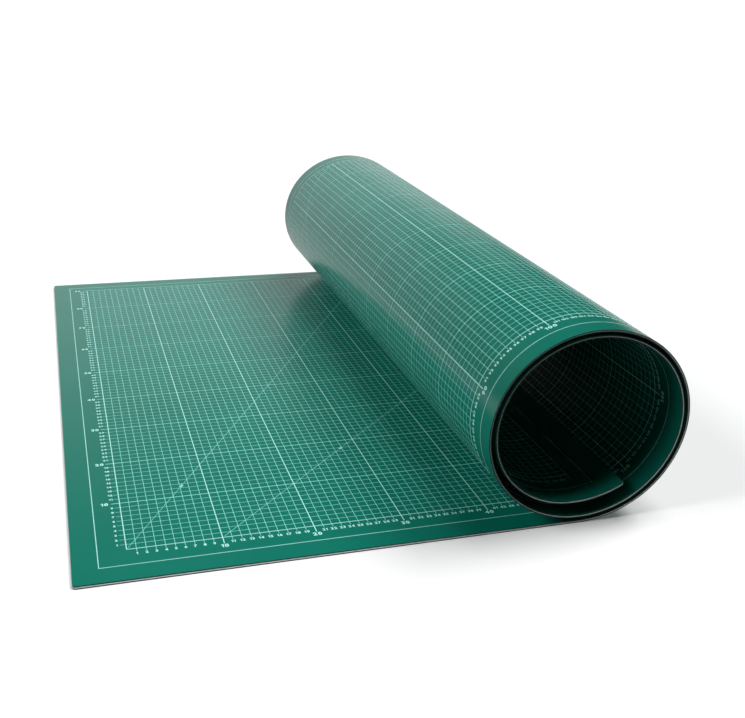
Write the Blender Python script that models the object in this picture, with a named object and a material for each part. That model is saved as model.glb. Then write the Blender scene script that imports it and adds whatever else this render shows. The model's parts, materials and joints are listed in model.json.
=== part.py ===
"""Self-healing cutting mat, 2 m by 1 m and 3 mm thick, flat at one end and rolled up at the other.

The sheet is a laminate of three plies: a soft green skin on each face and a stiff pale core between them.
X runs along the mat's length, from the flat end to the roll, and Y runs across it, from the numbered
front edge to the back. The underside of the flat end lies on Z = 0, and the origin is the middle of the
footprint of the part rolled mat.

The mat bends anywhere along its length. Here the rolled end is a chain of short arcs, each one hinged to
the one before it by an empty on the underside of the sheet, where the arcs touch when the roll is opened
out. Turning every hinge back by its bend lays the arcs end to end on one level.
"""

import math

import bpy

# The sheet
MAT_LENGTH = 2.000
MAT_DEPTH = 1.000
SKIN_THICKNESS = 0.0009
CORE_THICKNESS = 0.0008
BOND_GAP = 0.0002
CORNER_RADIUS = 0.004

# The roll. Radii are those of the underside, which is the outer face of the roll.
FLAT_LENGTH = 0.548
ROLL_RADIUS = 0.120
TURN_GAP = 0.0035
OVAL = 0.0118
INNER_START_TURNS = 1.6
INNER_TIGHTENING = 0.043
FREE_END_RADIUS = 0.130

# The chain of arcs
SECTION_COUNT = 19
JOINT_GAP = 0.0003

# How finely round stretches are drawn
ARC_STEPS = 8
CORNER_STEPS = 4

MAT_THICKNESS = 2 * (SKIN_THICKNESS + BOND_GAP) + CORE_THICKNESS
SECTION_LENGTH = (MAT_LENGTH - FLAT_LENGTH) / SECTION_COUNT

# Each ply as its name, its lower face's height above the underside, its thickness and its look
GREEN = (0.008, 0.19, 0.125, 1.0)
PALE = (0.42, 0.40, 0.35, 1.0)
PLIES = (
    ("under_skin", 0.0, SKIN_THICKNESS, GREEN, 0.45),
    ("core", SKIN_THICKNESS + BOND_GAP, CORE_THICKNESS, PALE, 0.7),
    ("top_skin", MAT_THICKNESS - SKIN_THICKNESS, SKIN_THICKNESS, GREEN, 0.45),
)


def clear_scene():
    for item in list(bpy.data.objects):
        bpy.data.objects.remove(item)


def new_collection(name):
    collection = bpy.data.collections.new(name)
    bpy.context.scene.collection.children.link(collection)
    return collection


def new_material(name, colour, roughness):
    material = bpy.data.materials.new(name)
    material.use_nodes = True
    shader = material.node_tree.nodes["Principled BSDF"]
    shader.inputs["Base Color"].default_value = colour
    shader.inputs["Roughness"].default_value = roughness
    shader.inputs["Metallic"].default_value = 0.0
    return material


def new_empty(name, collection, parent, location, turn):
    """A frame at the start of a stretch of the sheet, turned about Y, with +X along the sheet."""
    empty = bpy.data.objects.new(name, None)
    empty.empty_display_size = 0.02
    empty.parent = parent
    empty.location = location
    empty.rotation_euler = (0.0, turn, 0.0)
    collection.objects.link(empty)
    return empty


def new_plate(name, collection, parent, outline, half_thickness):
    """A flat outline, as a list of (x, y), made a plate of twice half_thickness."""
    curve = bpy.data.curves.new(name, "CURVE")
    curve.dimensions = "2D"
    curve.fill_mode = "BOTH"
    curve.extrude = half_thickness
    spline = curve.splines.new("POLY")
    spline.points.add(len(outline) - 1)
    for point, (x, y) in zip(spline.points, outline):
        point.co = (x, y, 0.0, 1.0)
    spline.use_cyclic_u = True
    plate = bpy.data.objects.new(name, curve)
    plate.parent = parent
    collection.objects.link(plate)
    return plate


def arc(centre, radius, start, end, steps):
    """Points on an arc from one angle to another, both counted from +X towards +Y."""
    points = []
    for step in range(steps + 1):
        angle = start + (end - start) * step / steps
        x = centre[0] + radius * math.cos(angle)
        y = centre[1] + radius * math.sin(angle)
        points.append((x, y))
    return points


def flat_outline():
    """The flat end seen from above: round corners at its free edge, square ends at the first hinge."""
    hinge_side = FLAT_LENGTH - JOINT_GAP / 2
    side = MAT_DEPTH / 2
    inset = side - CORNER_RADIUS
    back = arc((CORNER_RADIUS, inset), CORNER_RADIUS, math.pi / 2, math.pi, CORNER_STEPS)
    front = arc((CORNER_RADIUS, -inset), CORNER_RADIUS, math.pi, 1.5 * math.pi, CORNER_STEPS)
    return [(hinge_side, side)] + back + front + [(hinge_side, -side)]


def arc_outline(radius, bend, bottom, thickness, last):
    """One ply of an arc of the sheet, seen from the front, with the hinge at (0, 0) and +Y inwards."""
    trim = JOINT_GAP / 2 / radius
    start = trim - math.pi / 2
    end = bend - math.pi / 2
    if not last:
        end -= trim
    centre = (0.0, radius)
    outer = arc(centre, radius - bottom, start, end, ARC_STEPS)
    inner = arc(centre, radius - bottom - thickness, start, end, ARC_STEPS)
    return outer + inner[::-1]


def section_radius(index, start_angle):
    """The radius of an arc of the roll, which begins where the sheet has turned by start_angle.

    Each turn is tighter than the one round it by the sheet and the gap between turns. The roll sags a
    little, so it is flatter at its top and bottom than at its sides. The inmost stretch winds up more
    tightly, and the free end springs open again.
    """
    if index == SECTION_COUNT - 1:
        return FREE_END_RADIUS
    middle = start_angle + SECTION_LENGTH / ROLL_RADIUS / 2
    turns = middle / (2 * math.pi)
    tighter = turns * (MAT_THICKNESS + TURN_GAP)
    inmost = max(0.0, turns - INNER_START_TURNS) * INNER_TIGHTENING
    return ROLL_RADIUS - tighter + OVAL * math.cos(2 * middle) - inmost


def roll_arcs():
    """(radius, bend) of each arc of the roll, from the flat end inwards."""
    arcs = []
    turned = 0.0
    for index in range(SECTION_COUNT):
        radius = section_radius(index, turned)
        bend = SECTION_LENGTH / (radius - MAT_THICKNESS / 2)
        arcs.append((radius, bend))
        turned += bend
    return arcs


def roll_reach(arcs):
    """How far the roll's outer face reaches past the first hinge along X."""
    x = 0.0
    turned = 0.0
    farthest = 0.0
    for radius, bend in arcs:
        centre = x - radius * math.sin(turned)
        for step in range(ARC_STEPS + 1):
            angle = turned + bend * step / ARC_STEPS
            farthest = max(farthest, centre + radius * math.sin(angle))
        x = centre + radius * math.sin(turned + bend)
        turned += bend
    return farthest


def make_flat_end(collection, root):
    for ply, bottom, thickness, colour, roughness in PLIES:
        name = "flat_" + ply
        plate = new_plate(name, collection, root, flat_outline(), thickness / 2)
        plate.location = (0.0, 0.0, bottom + thickness / 2)
        plate.data.materials.append(new_material(name, colour, roughness))


def make_roll(collection, root, arcs):
    parent = root
    place = (FLAT_LENGTH, 0.0, 0.0)
    turn = 0.0
    for index, (radius, bend) in enumerate(arcs):
        label = f"roll_{index + 1:02d}"
        hinge = new_empty(label + "_hinge", collection, parent, place, turn)
        last = index == len(arcs) - 1
        for ply, bottom, thickness, colour, roughness in PLIES:
            name = f"{label}_{ply}"
            outline = arc_outline(radius, bend, bottom, thickness, last)
            plate = new_plate(name, collection, hinge, outline, MAT_DEPTH / 2)
            plate.rotation_euler = (math.pi / 2, 0.0, 0.0)
            plate.data.materials.append(new_material(name, colour, roughness))
        parent = hinge
        place = (radius * math.sin(bend), 0.0, radius * (1.0 - math.cos(bend)))
        turn = -bend


def main():
    clear_scene()
    collection = new_collection("self_healing_cutting_mat")
    arcs = roll_arcs()
    footprint = FLAT_LENGTH + roll_reach(arcs)
    root = new_empty("mat_frame", collection, None, (-footprint / 2, 0.0, 0.0), 0.0)
    make_flat_end(collection, root)
    make_roll(collection, root, arcs)


main()
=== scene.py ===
import json
import math

import bmesh
import bpy
import numpy as np
from mathutils import Matrix, Vector


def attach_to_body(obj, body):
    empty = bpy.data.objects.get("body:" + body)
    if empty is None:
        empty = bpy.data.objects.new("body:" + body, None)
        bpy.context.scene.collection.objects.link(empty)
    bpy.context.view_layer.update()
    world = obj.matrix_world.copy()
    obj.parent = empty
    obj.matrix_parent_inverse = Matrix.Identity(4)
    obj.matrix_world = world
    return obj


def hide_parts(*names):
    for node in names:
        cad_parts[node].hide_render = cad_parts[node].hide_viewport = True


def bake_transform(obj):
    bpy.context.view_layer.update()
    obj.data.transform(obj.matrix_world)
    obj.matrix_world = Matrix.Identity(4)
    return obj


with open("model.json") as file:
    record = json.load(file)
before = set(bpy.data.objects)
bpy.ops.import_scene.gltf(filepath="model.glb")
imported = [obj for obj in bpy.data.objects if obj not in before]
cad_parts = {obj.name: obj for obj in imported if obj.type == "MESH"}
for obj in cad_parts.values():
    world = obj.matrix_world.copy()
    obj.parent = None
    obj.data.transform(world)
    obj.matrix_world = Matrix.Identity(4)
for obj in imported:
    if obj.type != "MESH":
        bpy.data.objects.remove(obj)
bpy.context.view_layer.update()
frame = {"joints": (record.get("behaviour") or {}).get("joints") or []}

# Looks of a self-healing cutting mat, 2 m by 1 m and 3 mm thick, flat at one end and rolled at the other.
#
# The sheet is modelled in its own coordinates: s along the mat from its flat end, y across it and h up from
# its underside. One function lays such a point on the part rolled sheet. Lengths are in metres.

# The sheet, as the CAD has it
THICKNESS = 0.003
SKIN = 0.0009
CORE = 0.0008
BOND = 0.0002
LENGTH = 2.000
HALF_DEPTH = 0.500
CORNER_RADIUS = 0.004
# Each ply's name, the heights of its lower and upper face, and its slot
PLIES = (
    ("under_skin", 0.0, SKIN, "green_skin"),
    ("core", SKIN + BOND, SKIN + BOND + CORE, "core_sheet"),
    ("top_skin", THICKNESS - SKIN, THICKNESS, "green_skin"),
)
# How far each ply's cut edge stands back at its lower and at its upper face: the knife leaves it sloping
EDGE_SLOPES = {"under_skin": (0.0001, 0.0), "core": (0.0, 0.0006), "top_skin": (0.0006, 0.0009)}

# The printed grid. It starts at GRID_START along the sheet. GRID_FRONT and UNDER_FRONT say how far it lies
# behind the front edge on the top face and on the underside
GRID_START = 0.0563
GRID_FRONT = 0.0575
UNDER_FRONT = 0.0547
PITCH = 0.010
GRID_COLUMNS = 190
GRID_ROWS = 90

# How far outside the grid the border runs: first at the front and the flat end, then at the back and the
# free end
BORDER_OUT = 0.0297
BORDER_BEYOND = 0.0173

# Widths of the lines
FINE_LINE = 0.00052
BOLD_LINE = 0.00105
BORDER_LINE = 0.00085
GUIDE_LINE = 0.00045

# Each kind of line stands at a height of its own, so that no two faces meet where lines cross
ACROSS_RISE = 0.00002
ALONG_RISE = 0.00003
GUIDE_RISE = 0.00004
WORD_RISE = 0.00005
INK_SINK = 0.00005

# Numbers along the front of the grid and beside its line 0, and the ticks that lead to them
UNIT_HEIGHT = 0.0047
TEN_HEIGHT = 0.0066
THREE_DIGIT_SHARE = 0.84
SIDE_UNIT_HEIGHT = 0.9 * UNIT_HEIGHT
UNIT_OFFSET = 0.0096
SIDE_UNIT_OFFSET = 0.0090
TEN_OFFSET = 0.0165
UNIT_TICK = 0.0060
TEN_TICK = 0.0120
SIDE_TEN_TICK = 0.0093

# Signs of the font. The gap between them is in parts of their height
DIGIT_GAP = 0.14
DIGIT_STRETCH = 1.05
DIGIT_BOLDNESS = 0.045
# How finely a sign's curves are drawn, and how near to each other two of its points are one
DIGIT_CURVE_STEPS = 2
DIGIT_WELD = 0.00001
DEGREE_SIGN = "\u00b0"
FONT_SIGNS = "023456789" + DEGREE_SIGN
# The figure one as a stem and a flag, each an outline in parts of the height, from the middle
ONE_STEM = ((-0.01, -0.48), (0.20, -0.48), (0.20, 0.48), (0.05, 0.48), (-0.01, 0.22))
ONE_FLAG = ((0.05, 0.48), (-0.20, 0.28), (-0.20, 0.09), (-0.01, 0.22))

# The two angle lines: the column each starts from, its angle, and how far along it the angle is written
GUIDES = ((0, 60, 0.145), (10, 45, 0.253))
# How far along itself a line starts, the room it leaves to each side of its angle, and the angle's height
GUIDE_START = 0.0030
GUIDE_WORD_ROOM = 0.0058
ANGLE_HEIGHT = 0.0040

# How far apart the sheet has points along the roll, and how many steps its rounded corners have
STEP = 0.005
CORNER_STEPS = 4
# Points nearer to each other than this along the sheet are one, unless both are needed
NEAREST_STATIONS = 0.0004
# Places nearer to each other than this are the same place
SAME_PLACE = 0.000001

# How many faces a ply has from front to back
PLY_COLUMNS = 10

# A face is broad, and not a cut edge, where at least this share of its normal lies along the sheet's
BROAD_SHARE = 0.9


class Roll:
    """The sheet's path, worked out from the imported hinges: where each lies and how far it opens."""

    def __init__(self, joints):
        self.hinges = [Vector((joint["pos_m"][0], joint["pos_m"][2])) for joint in joints]
        self.turns = [math.radians(joint["range_deg"][1]) for joint in joints]
        self.names = ["flat"] + [joint["child"] for joint in joints]
        self.bends = [2.0 * self.turns[0]]
        for turn in self.turns[1:]:
            self.bends.append(2.0 * turn - self.bends[-1])
        self.headings = [0.0]
        for bend in self.bends:
            self.headings.append(self.headings[-1] + bend)
        first_chord = (self.hinges[1] - self.hinges[0]).length
        first_radius = first_chord / (2.0 * math.sin(self.bends[0] / 2.0))
        self.section = self.bends[0] * (first_radius - THICKNESS / 2.0)
        self.radii = [self.section / bend + THICKNESS / 2.0 for bend in self.bends]
        self.flat = LENGTH - len(joints) * self.section
        self.left = self.hinges[0][0] - self.flat

    def at(self, s):
        """(x, z, heading) of the underside at s along the sheet."""
        if s <= self.flat:
            return self.left + s, 0.0, 0.0
        index = min(int((s - self.flat) / self.section), len(self.bends) - 1)
        along = s - self.flat - index * self.section
        radius = self.radii[index]
        start = self.headings[index]
        heading = start + along / (radius - THICKNESS / 2.0)
        hinge = self.hinges[index]
        x = hinge[0] + radius * (math.sin(heading) - math.sin(start))
        z = hinge[1] + radius * (math.cos(start) - math.cos(heading))
        return x, z, heading

    def middle(self, index):
        """How far along the sheet the middle of an arc lies."""
        return self.flat + (index + 0.5) * self.section


roll = Roll(frame["joints"])
ARCS = len(roll.bends)

# The sheet is cut into slabs at the middle of each arc, so that a slab bends about the hinge in its middle
cuts = [0.0, roll.flat] + [roll.middle(i) for i in range(ARCS)] + [LENGTH]


def corner_distances():
    """How far from a free edge the points of its rounded corners lie."""
    angles = [math.pi / 2 * step / CORNER_STEPS for step in range(CORNER_STEPS + 1)]
    return [CORNER_RADIUS * (1 - math.sin(angle)) for angle in angles]


def make_stations():
    """Where the sheet has points: at the slabs' ends, at the corners and at even steps along the roll."""
    corners = corner_distances()
    needed = set(cuts) | set(corners) | {LENGTH - distance for distance in corners}
    first = math.ceil((roll.flat - GRID_START) / STEP)
    last = int((LENGTH - GRID_START) / STEP)
    even = {GRID_START + step * STEP for step in range(first, last + 1)}
    kept = []
    for s in sorted(needed | even):
        near = bool(kept) and s - kept[-1] <= NEAREST_STATIONS
        if near and s not in needed:
            continue
        if near and kept[-1] not in needed:
            kept.pop()
        kept.append(s)
    return np.array(kept)


stations = make_stations()
path = np.array([roll.at(s) for s in stations])
points = path[:, :2]
normals = np.stack([-np.sin(path[:, 2]), np.cos(path[:, 2])], axis=1)


def lay(flat_points):
    """Points (s, y, h) of the flat sheet, laid on the part rolled one."""
    s, y, h = flat_points.T
    before = np.clip(np.searchsorted(stations, s, side="right") - 1, 0, len(stations) - 2)
    share = (s - stations[before]) / (stations[before + 1] - stations[before])
    place = points[before] + (points[before + 1] - points[before]) * share[:, None]
    out = normals[before] + (normals[before + 1] - normals[before]) * share[:, None]
    place = place + out * h[:, None]
    return np.stack([place[:, 0], y, place[:, 1]], axis=1)


def up_at(s):
    """The direction out of the top face at s, as (x, y, z)."""
    x = np.interp(s, stations, normals[:, 0])
    z = np.interp(s, stations, normals[:, 1])
    length = np.hypot(x, z)
    return np.stack([x / length, np.zeros(len(x)), z / length], axis=1)


class Sheet:
    """Gathers closed solids in sheet coordinates, and makes one mesh object of them."""

    def __init__(self):
        self.points = []
        self.faces = []
        self.face_looks = []

    def add(self, new_points, new_faces, new_looks):
        base = len(self.points)
        self.points.extend(new_points)
        self.faces.extend([tuple(base + corner for corner in face) for face in new_faces])
        self.face_looks.extend(new_looks)

    def strip(self, line, width, low, high, look):
        """A closed strip along a line of (s, y), at heights low to high. Its width lies across y or s."""
        lies_along = abs(line[-1][0] - line[0][0]) > SAME_PLACE
        half_s, half_y = (0.0, width / 2) if lies_along else (width / 2, 0.0)
        rings = []
        for s, y in line:
            one, other = (s - half_s, y + half_y), (s + half_s, y - half_y)
            rings.append([(*one, low), (*other, low), (*other, high), (*one, high)])
        self.loft(rings, look, look)

    def loft(self, rings, look, cut_look, cut_steps=()):
        """A closed solid through rings that all have the same number of points.

        Its two ends, and the faces at cut_steps round each ring, have a look of their own.
        """
        count = len(rings[0])
        last = (len(rings) - 1) * count
        faces = [tuple(range(count))[::-1]]
        looks = [cut_look]
        for start in range(0, last, count):
            for step in range(count):
                near = start + step
                far = start + (step + 1) % count
                faces.append((near, far, far + count, near + count))
                looks.append(cut_look if step in cut_steps else look)
        faces.append(tuple(range(last, last + count)))
        looks.append(cut_look)
        self.add([point for ring in rings for point in ring], faces, looks)

    def make(self, name, materials):
        flat_points = np.array(self.points, float)
        mesh = bpy.data.meshes.new(name)
        mesh.from_pydata(lay(flat_points).tolist(), [], self.faces)
        for material in materials:
            mesh.materials.append(material)
        mesh.polygons.foreach_set("material_index", self.face_looks)
        mesh.validate()
        made = bpy.data.objects.new(name, mesh)
        bpy.context.scene.collection.objects.link(made)
        turn_outwards(mesh)
        smooth_faces(mesh, flat_points)
        return made


def turn_outwards(mesh):
    work = bmesh.new()
    work.from_mesh(mesh)
    bmesh.ops.recalc_face_normals(work, faces=work.faces)
    work.to_mesh(mesh)
    work.free()


def smooth_faces(mesh, flat_points):
    """Gives the broad faces the true normal of the rolled sheet, and leaves the cut edges flat."""
    count = len(mesh.loops)
    loop_vertex = np.zeros(count, int)
    mesh.loops.foreach_get("vertex_index", loop_vertex)
    face_normals = np.zeros(len(mesh.polygons) * 3)
    mesh.polygons.foreach_get("normal", face_normals)
    face_normals = face_normals.reshape(-1, 3)
    totals = np.zeros(len(mesh.polygons), int)
    mesh.polygons.foreach_get("loop_total", totals)
    loop_face = np.repeat(np.arange(len(totals)), totals)
    up = up_at(flat_points[loop_vertex, 0])
    face_up = np.einsum("ij,ij->i", up, face_normals[loop_face])
    broad = np.abs(face_up) > BROAD_SHARE
    loop_normals = face_normals[loop_face]
    loop_normals[broad] = up[broad] * np.sign(face_up[broad])[:, None]
    mesh.polygons.foreach_set("use_smooth", np.ones(len(mesh.polygons), bool))
    mesh.normals_split_custom_set(loop_normals.tolist())


# Materials

GREEN_COLOUR = (0.0015, 0.192, 0.137)
# The skins' cut edges are painted this darker green: painted shade, since little light reaches the edges
# from the front.
SHADED_CUT_GREEN_COLOUR = (0.004, 0.048, 0.036)
BOLD_INK_COLOUR = (0.47, 0.92, 0.86)
FINE_INK_COLOUR = (0.31, 0.87, 0.80)
CORE_COLOUR = (0.84, 0.90, 0.86)

# Between which values of its noise a clouded colour goes from darker to lighter, and each noise's detail
CLOUD_STOPS = (0.3, 0.7)
CLOUD_DETAIL = 3.0
FINE_DETAIL = 2.0

# The skin's gloss, the patches over which its roughness drifts, and its moulded grain
SKIN_SPECULAR = 0.45
SKIN_ROUGHNESS = 0.25
ROUGHNESS_RANGE = (0.21, 0.28)
PATCH_SCALE = 9.0
GRAIN_SCALE = 1400.0
GRAIN_STRENGTH = 0.12
GRAIN_DEPTH = 0.0001


def principled(name, colour, roughness):
    material = bpy.data.materials.new(name)
    material.use_nodes = True
    tree = material.node_tree
    shader = tree.nodes["Principled BSDF"]
    shader.inputs["Base Color"].default_value = (*colour, 1.0)
    shader.inputs["Roughness"].default_value = roughness
    return material, tree, shader


def node(tree, kind, **values):
    made = tree.nodes.new(kind)
    for key, value in values.items():
        if key in made.inputs.keys():
            made.inputs[key].default_value = value
        else:
            setattr(made, key, value)
    return made


def noise(tree, scale, detail):
    """Noise that stays where it is on the object."""
    made = node(tree, "ShaderNodeTexNoise", Scale=scale, Detail=detail)
    tree.links.new(node(tree, "ShaderNodeTexCoord").outputs["Object"], made.inputs["Vector"])
    return made.outputs["Fac"]


def clouded(name, colour, roughness, scale, spread):
    """A material with a slow cloudy change of colour, as moulded sheet has."""
    material, tree, shader = principled(name, colour, roughness)
    ramp = node(tree, "ShaderNodeValToRGB")
    for stop, position, share in zip(ramp.color_ramp.elements, CLOUD_STOPS, (1 - spread, 1 + spread)):
        stop.position = position
        stop.color = (*[channel * share for channel in colour], 1.0)
    tree.links.new(noise(tree, scale, CLOUD_DETAIL), ramp.inputs["Fac"])
    tree.links.new(ramp.outputs["Color"], shader.inputs["Base Color"])
    return material


def green_pvc():
    """Satin green PVC with a fine even grain, and a roughness that drifts."""
    material = clouded("green_pvc", GREEN_COLOUR, SKIN_ROUGHNESS, scale=6.0, spread=0.05)
    tree = material.node_tree
    shader = tree.nodes["Principled BSDF"]
    shader.inputs["Specular IOR Level"].default_value = SKIN_SPECULAR
    bump = node(tree, "ShaderNodeBump", Strength=GRAIN_STRENGTH, Distance=GRAIN_DEPTH)
    tree.links.new(noise(tree, GRAIN_SCALE, FINE_DETAIL), bump.inputs["Height"])
    tree.links.new(bump.outputs["Normal"], shader.inputs["Normal"])
    rough = node(tree, "ShaderNodeMapRange")
    rough.inputs["To Min"].default_value = ROUGHNESS_RANGE[0]
    rough.inputs["To Max"].default_value = ROUGHNESS_RANGE[1]
    tree.links.new(noise(tree, PATCH_SCALE, FINE_DETAIL), rough.inputs["Value"])
    tree.links.new(rough.outputs["Result"], shader.inputs["Roughness"])
    return material


def cut_green():
    """The skins where the knife went through them: matt, with fine streaks, and darker as painted shade."""
    return clouded("shaded_cut_green_pvc", SHADED_CUT_GREEN_COLOUR, roughness=0.8, scale=240.0, spread=0.15)


def pale_core():
    """The core at the cut edge: pale, matt and faintly streaked by the knife."""
    return clouded("pale_core", CORE_COLOUR, roughness=0.75, scale=180.0, spread=0.12)


def print_ink(name, colour):
    """Pale mint ink, a little uneven as screen print is."""
    return clouded(name, colour, roughness=0.5, scale=220.0, spread=0.06)


GREEN = green_pvc()
SHADED_CUT_GREEN = cut_green()
PALE = pale_core()
BOLD_INK = print_ink("bold_ink", BOLD_INK_COLOUR)
FINE_INK = print_ink("fine_ink", FINE_INK_COLOUR)

# The plies


def half_width(s):
    """How far the sheet reaches to each side at s, less at its rounded corners."""
    edge = min(s, LENGTH - s)
    if edge >= CORNER_RADIUS:
        return HALF_DEPTH
    inside = CORNER_RADIUS - edge
    return HALF_DEPTH - CORNER_RADIUS + math.sqrt(max(0.0, CORNER_RADIUS ** 2 - inside ** 2))


def make_ply(index, name, low, high, edge_slope, materials):
    """One ply of a slab, with a second material on its cut edges."""
    slab = [s for s in stations if cuts[index] - SAME_PLACE <= s <= cuts[index + 1] + SAME_PLACE]
    shares = [2 * column / PLY_COLUMNS - 1 for column in range(PLY_COLUMNS + 1)]
    rings = []
    for s in slab:
        below, above = (half_width(s) - back for back in edge_slope)
        ring = [(s, below * share, low) for share in shares]
        rings.append(ring + [(s, above * share, high) for share in shares[::-1]])
    sheet = Sheet()
    sheet.loft(rings, look=0, cut_look=1, cut_steps=(PLY_COLUMNS, 2 * PLY_COLUMNS + 1))
    return sheet.make(name, materials)


# The print


def figure_one():
    """The figure one, which the font draws as a bare bar."""
    outline = [*ONE_STEM[:4], *ONE_FLAG[1:]]
    count = len(outline)
    shape = np.array([(x, y, level) for level in (0.0, 1.0) for x, y in outline])
    faces = []
    for near in range(count):
        far = (near + 1) % count
        faces.append((near, far, far + count, near + count))
    for outline_part in (ONE_STEM, ONE_FLAG):
        corners = [outline.index(place) for place in outline_part]
        faces.append(tuple(corners[::-1]))
        faces.append(tuple(count + corner for corner in corners))
    return shape, faces, float(np.ptp(shape[:, 0]))


def glyph(carrier, sign):
    """One sign of the font as the points and faces of a closed solid."""
    carrier.data.body = sign
    bpy.context.view_layer.update()
    graph = bpy.context.evaluated_depsgraph_get()
    mesh = bpy.data.meshes.new_from_object(carrier.evaluated_get(graph))
    work = bmesh.new()
    work.from_mesh(mesh)
    bmesh.ops.remove_doubles(work, verts=work.verts, dist=DIGIT_WELD)
    work.verts.index_update()
    places = np.array([vertex.co for vertex in work.verts])
    faces = [tuple(vertex.index for vertex in face.verts) for face in work.faces]
    work.free()
    bpy.data.meshes.remove(mesh)
    return places, faces


def digit_shapes():
    """Each sign's points, faces and width, in parts of the height of a nought.

    A point's third value is 0 on the lower face and 1 on the upper one.
    """
    curve = bpy.data.curves.new("digit", "FONT")
    curve.resolution_u = DIGIT_CURVE_STEPS
    curve.extrude = 0.5
    curve.offset = DIGIT_BOLDNESS
    carrier = bpy.data.objects.new("digit", curve)
    bpy.context.scene.collection.objects.link(carrier)
    glyphs = {sign: glyph(carrier, sign) for sign in FONT_SIGNS}
    bpy.data.objects.remove(carrier)
    zero_heights = glyphs["0"][0][:, 1]
    foot, tall = zero_heights.min(), np.ptp(zero_heights)
    shapes = {"1": figure_one()}
    for sign, (places, faces) in glyphs.items():
        left, right = places[:, 0].min(), places[:, 0].max()
        across = (places[:, 0] - (left + right) / 2) / tall
        up = (places[:, 1] - foot - tall / 2) / tall
        level = np.where(places[:, 2] > 0, 1.0, 0.0)
        shapes[sign] = (np.stack([across, up, level], axis=1), faces, (right - left) / tall)
    return shapes


DIGITS = digit_shapes()


# Which of the two inks a line or word has
FINE, BOLD = 0, 1


class Print:
    """One face's print. side is 1 for the top face and -1 for the underside, which reads the other way."""

    def __init__(self, side, front):
        self.side = side
        self.front = front - HALF_DEPTH
        self.surface = THICKNESS if side > 0 else 0.0
        self.sheets = [Sheet() for _ in range(len(cuts) - 1)]

    def heights(self, rise):
        """From how low to how high print reaches that stands out by rise."""
        inner, outer = self.surface - self.side * INK_SINK, self.surface + self.side * rise
        return min(inner, outer), max(inner, outer)

    def slab_of(self, s):
        return int(np.clip(np.searchsorted(cuts, s, side="right") - 1, 0, len(cuts) - 2))

    def across(self, s, y0, y1, width, look):
        """A line at one s."""
        self.sheets[self.slab_of(s)].strip([(s, y0), (s, y1)], width, *self.heights(ACROSS_RISE), look)

    def along(self, s0, y0, s1, y1, width, look, rise=ALONG_RISE):
        """A line that runs along the sheet, straight or at a slant, cut where the slabs end."""
        slope = (y1 - y0) / (s1 - s0)
        spread = width * math.hypot(1.0, slope)
        for index, sheet in enumerate(self.sheets):
            low, high = max(s0, cuts[index]), min(s1, cuts[index + 1])
            if high - low < SAME_PLACE:
                continue
            inner = [s for s in stations if low + SAME_PLACE < s < high - SAME_PLACE]
            line = [(s, y0 + (s - s0) * slope) for s in [low, *inner, high]]
            sheet.strip(line, spread, *self.heights(rise), look)

    def word(self, text, s, y, height, degrees=0.0):
        """Signs centred at (s, y). On the underside they read from the free end to the flat end."""
        cos, sin = math.cos(math.radians(degrees)), math.sin(math.radians(degrees))
        widths = [DIGITS[sign][2] * DIGIT_STRETCH for sign in text]
        low, high = self.heights(WORD_RISE)
        sheet = self.sheets[self.slab_of(s)]
        place = -(sum(widths) + DIGIT_GAP * (len(text) - 1)) / 2
        for sign, width in zip(text, widths):
            shape, faces, _ = DIGITS[sign]
            right = (shape[:, 0] * DIGIT_STRETCH + place + width / 2) * height
            up = shape[:, 1] * height
            all_s = s + (right * cos - up * sin) * self.side
            all_y = y + right * sin + up * cos
            all_h = np.where(shape[:, 2] > 0.5, high, low)
            sheet.add(zip(all_s, all_y, all_h), faces, [BOLD] * len(faces))
            place += width + DIGIT_GAP

    def column(self, number):
        """Where the line with this number lies along the sheet."""
        if self.side > 0:
            return GRID_START + number * PITCH
        return GRID_START + (GRID_COLUMNS - number) * PITCH

    def draw(self):
        front, back = self.front, self.front + GRID_ROWS * PITCH
        start, end = GRID_START, GRID_START + GRID_COLUMNS * PITCH
        self.columns(front, back)
        self.rows(start, end, front)
        self.border(start, end, front, back)
        for number, degrees, word_place in GUIDES:
            self.guide(number, degrees, word_place)

    def columns(self, front, back):
        """The lines across the sheet, with their numbers at the front."""
        for number in range(GRID_COLUMNS + 1):
            ten = number % 10 == 0
            tick = TEN_TICK if ten else UNIT_TICK
            if number == 0:
                tick = 0.0
            width, look = (BOLD_LINE, BOLD) if ten else (FINE_LINE, FINE)
            self.across(self.column(number), front - tick, back, width, look)
            if number in (0, GRID_COLUMNS):
                continue
            offset, height = (TEN_OFFSET, TEN_HEIGHT) if ten else (UNIT_OFFSET, UNIT_HEIGHT)
            if number > 100 and not ten:
                height *= THREE_DIGIT_SHARE
            self.word(str(number), self.column(number), front - offset, height)

    def rows(self, start, end, front):
        """The lines along the sheet, with their numbers by line 0."""
        for row in range(GRID_ROWS + 1):
            ten = row % 10 == 0
            tick = SIDE_TEN_TICK if ten else UNIT_TICK
            if row == 0:
                tick = 0.0
            y = front + row * PITCH
            low, high = (start - tick, end) if self.side > 0 else (start, end + tick)
            width = BOLD_LINE if ten else FINE_LINE
            self.along(low, y, high, y, width, FINE if row else BOLD)
            if row == 0:
                continue
            offset, height = (TEN_OFFSET, TEN_HEIGHT) if ten else (SIDE_UNIT_OFFSET, SIDE_UNIT_HEIGHT)
            self.word(str(row), self.column(0) - self.side * offset, y, height)

    def border(self, start, end, front, back):
        low, high = start - BORDER_OUT, end + BORDER_BEYOND
        near, far = front - BORDER_OUT, back + BORDER_BEYOND
        for s in (low, high):
            self.across(s, near - BORDER_LINE / 2, far + BORDER_LINE / 2, BORDER_LINE, BOLD)
        for y in (near, far):
            self.along(low, y, high, y, BORDER_LINE, BOLD)

    def guide(self, number, degrees, word_place):
        """A slanting line from a column's foot to the back of the grid, with its angle written on it."""
        cos, sin = math.cos(math.radians(degrees)), math.sin(math.radians(degrees))
        foot = self.column(number)
        whole = GRID_ROWS * PITCH / sin

        def place(far):
            return foot + self.side * far * cos, self.front + far * sin

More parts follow.
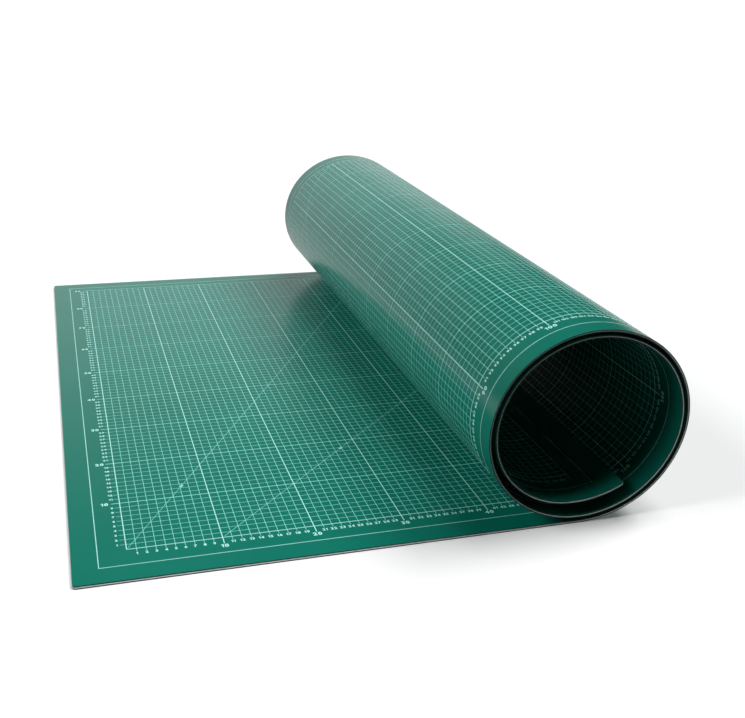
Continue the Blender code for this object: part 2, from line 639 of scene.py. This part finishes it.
        before_word = (GUIDE_START, word_place - GUIDE_WORD_ROOM)
        after_word = (word_place + GUIDE_WORD_ROOM, whole)
        for low, high in (before_word, after_word):
            (s0, y0), (s1, y1) = sorted((place(low), place(high)))
            self.along(s0, y0, s1, y1, GUIDE_LINE, FINE, GUIDE_RISE)
        self.word(f"{degrees}{DEGREE_SIGN}", *place(word_place), ANGLE_HEIGHT, degrees)


top_print = Print(1, GRID_FRONT)
under_print = Print(-1, UNDER_FRONT)
top_print.draw()
under_print.draw()

# Slabs: the flat one on its body, the others fixed where they lie


def attach(piece, index):
    """Slab 0 is the flat end, slab ARCS + 1 the half arc at the free end, and the others cross a hinge."""
    if index == 0:
        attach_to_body(piece, "flat")
        return
    if index <= ARCS:
        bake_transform(piece)
        return
    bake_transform(piece)


def make_slab(index):
    body = roll.names[min(index, ARCS)]
    label = f"mat_{index:02d}"
    for ply, low, high, slot in PLIES:
        # The skins' cut edges take the darker green, which is painted shade.
        materials = [PALE, PALE] if ply == "core" else [GREEN, SHADED_CUT_GREEN]
        piece = make_ply(index, f"{label}_{ply}", low, high, EDGE_SLOPES[ply], materials)
        attach(piece, index)
        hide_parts(f"{body}_{ply}")
    for face, source in (("top", top_print), ("under", under_print)):
        piece = source.sheets[index].make(f"{label}_{face}_print", [FINE_INK, BOLD_INK])
        attach(piece, index)


for slab in range(len(cuts) - 1):
    make_slab(slab)

# Floor, light and camera

# The floor's colour to the camera and to light thrown back up, and its glow to the camera and in gloss
FLOOR_COLOUR = 0.95
FLOOR_BOUNCE = 0.15
FLOOR_GLOW = 0.09
FLOOR_SHINE = 0.50
FLOOR_ROUGHNESS = 0.9
FLOOR_SIZE = 40.0
FLOOR_DROP = 0.0003


def floor_material():
    """White to the camera where no shadow falls. In gloss, and as light thrown back up, it is less."""
    material, tree, shader = principled("floor_white", (FLOOR_COLOUR,) * 3, FLOOR_ROUGHNESS)
    shader.inputs["Specular IOR Level"].default_value = 0.0
    light_path = node(tree, "ShaderNodeLightPath")

    def blend_of(ray, otherwise, seen):
        """One value for this kind of ray and another for the rest."""
        made = node(tree, "ShaderNodeMix", data_type="FLOAT")
        tree.links.new(light_path.outputs[ray], made.inputs["Factor"])
        for socket, value in ((made.inputs["A"], otherwise), (made.inputs["B"], seen)):
            if isinstance(value, float):
                socket.default_value = value
            else:
                tree.links.new(value, socket)
        return made.outputs["Result"]

    tree.links.new(blend_of("Is Camera Ray", FLOOR_BOUNCE, FLOOR_COLOUR), shader.inputs["Base Color"])
    in_gloss = blend_of("Is Glossy Ray", 0.0, FLOOR_SHINE)
    glow = blend_of("Is Camera Ray", in_gloss, FLOOR_GLOW)
    shader.inputs["Emission Color"].default_value = (1.0, 1.0, 1.0, 1.0)
    tree.links.new(glow, shader.inputs["Emission Strength"])
    return material


bpy.ops.mesh.primitive_plane_add(size=FLOOR_SIZE, location=(0.0, 0.0, -FLOOR_DROP))
floor = bpy.context.active_object
floor.name = "floor"
floor.data.materials.append(floor_material())


# The studio: a white backdrop behind the object, at +Y, which its gloss shows, and little light from
# elsewhere. The backdrop sets in at the first value of BACKDROP_FALL on the way to +Y and is whole at the
# second. Its top fades out between the heights of BACKDROP_TOP, and slopes down towards +X
BACKDROP_FALL = (0.84, 0.94)
BACKDROP_TOP = (0.50, 0.36)
BACKDROP_SLOPE = 0.25
BACKDROP_LEVEL = 0.79
# The light from elsewhere, which grows from one level to the other between two values on the way to +Y
AMBIENT_LEVEL = 0.01
BEHIND_LEVEL = 0.03
BEHIND_FROM = (0.0, 0.6)


def studio_world():
    """White to the camera all round. To everything else it gives the light of the studio."""
    world = bpy.data.worlds.new("studio")
    world.use_nodes = True
    tree = world.node_tree
    background = tree.nodes["Background"]

    def ramp(value, low, high, out_low=0.0, out_high=1.0):
        """Goes smoothly from out_low to out_high as the value goes from low to high."""
        made = node(tree, "ShaderNodeMapRange", interpolation_type="SMOOTHSTEP")
        made.inputs["From Min"].default_value = low
        made.inputs["From Max"].default_value = high
        made.inputs["To Min"].default_value = out_low
        made.inputs["To Max"].default_value = out_high
        tree.links.new(value, made.inputs["Value"])
        return made.outputs["Result"]

    def maths(operation, first, second):
        made = node(tree, "ShaderNodeMath", operation=operation)
        for socket, value in zip(made.inputs, (first, second)):
            if isinstance(value, float):
                socket.default_value = value
            else:
                tree.links.new(value, socket)
        return made.outputs["Value"]

    direction = node(tree, "ShaderNodeTexCoord").outputs["Generated"]
    parts = node(tree, "ShaderNodeSeparateXYZ")
    tree.links.new(direction, parts.inputs["Vector"])
    height = maths("ADD", parts.outputs["Z"], maths("MULTIPLY", parts.outputs["X"], BACKDROP_SLOPE))
    towards = parts.outputs["Y"]
    backdrop = maths("MULTIPLY", ramp(towards, *BACKDROP_FALL), ramp(height, *BACKDROP_TOP))
    around = ramp(towards, *BEHIND_FROM, AMBIENT_LEVEL, BEHIND_LEVEL)
    studio = maths("ADD", ramp(backdrop, 0.0, 1.0, 0.0, BACKDROP_LEVEL), around)
    camera_ray = node(tree, "ShaderNodeLightPath").outputs["Is Camera Ray"]
    tree.links.new(maths("MAXIMUM", camera_ray, studio), background.inputs["Strength"])
    background.inputs["Color"].default_value = (1.0, 1.0, 1.0, 1.0)
    bpy.context.scene.world = world


studio_world()


def soft_sun(name, azimuth, elevation, irradiance, angle):
    """A softbox far off: azimuth in degrees from +Y towards +X, elevation, and the angle that it fills."""
    turn, rise = math.radians(azimuth), math.radians(elevation)
    source = Vector((math.sin(turn) * math.cos(rise), math.cos(turn) * math.cos(rise), math.sin(rise)))
    lamp = bpy.data.lights.new(name, "SUN")
    lamp.energy = irradiance
    lamp.angle = math.radians(angle)
    made = bpy.data.objects.new(name, lamp)
    made.rotation_mode = "QUATERNION"
    made.rotation_quaternion = (-source).to_track_quat("-Z", "Y")
    bpy.context.scene.collection.objects.link(made)


soft_sun("overhead_softbox", azimuth=72.0, elevation=75.0, irradiance=0.90, angle=24.0)
soft_sun("left_softbox", azimuth=272.0, elevation=34.0, irradiance=1.55, angle=24.0)
soft_sun("right_softbox", azimuth=76.0, elevation=51.0, irradiance=1.95, angle=24.0)

# The camera stands at the front left and looks down along the roll
PICTURE_WIDTH = 745
FOCAL_PIXELS = 1038.456
CAMERA_PLACE = (-0.32296, -1.4030, 0.5863)
CAMERA_FORWARD = (0.2812, 0.8883, -0.3630)
CAMERA_RIGHT = (0.9566, -0.2896, 0.0323)
SENSOR_WIDTH = 36.0

camera_data = bpy.data.cameras.new("camera")
camera_data.sensor_fit = "HORIZONTAL"
camera_data.sensor_width = SENSOR_WIDTH
camera_data.lens = SENSOR_WIDTH * FOCAL_PIXELS / PICTURE_WIDTH
camera = bpy.data.objects.new("camera", camera_data)
bpy.context.scene.collection.objects.link(camera)
forward = Vector(CAMERA_FORWARD).normalized()
right = Vector(CAMERA_RIGHT)
right = (right - forward * right.dot(forward)).normalized()
up = right.cross(forward)
turn = Matrix((right, up, -forward)).transposed()
camera.matrix_world = Matrix.Translation(CAMERA_PLACE) @ turn.to_4x4()
bpy.context.scene.camera = camera

bpy.context.scene.view_settings.view_transform = "Standard"
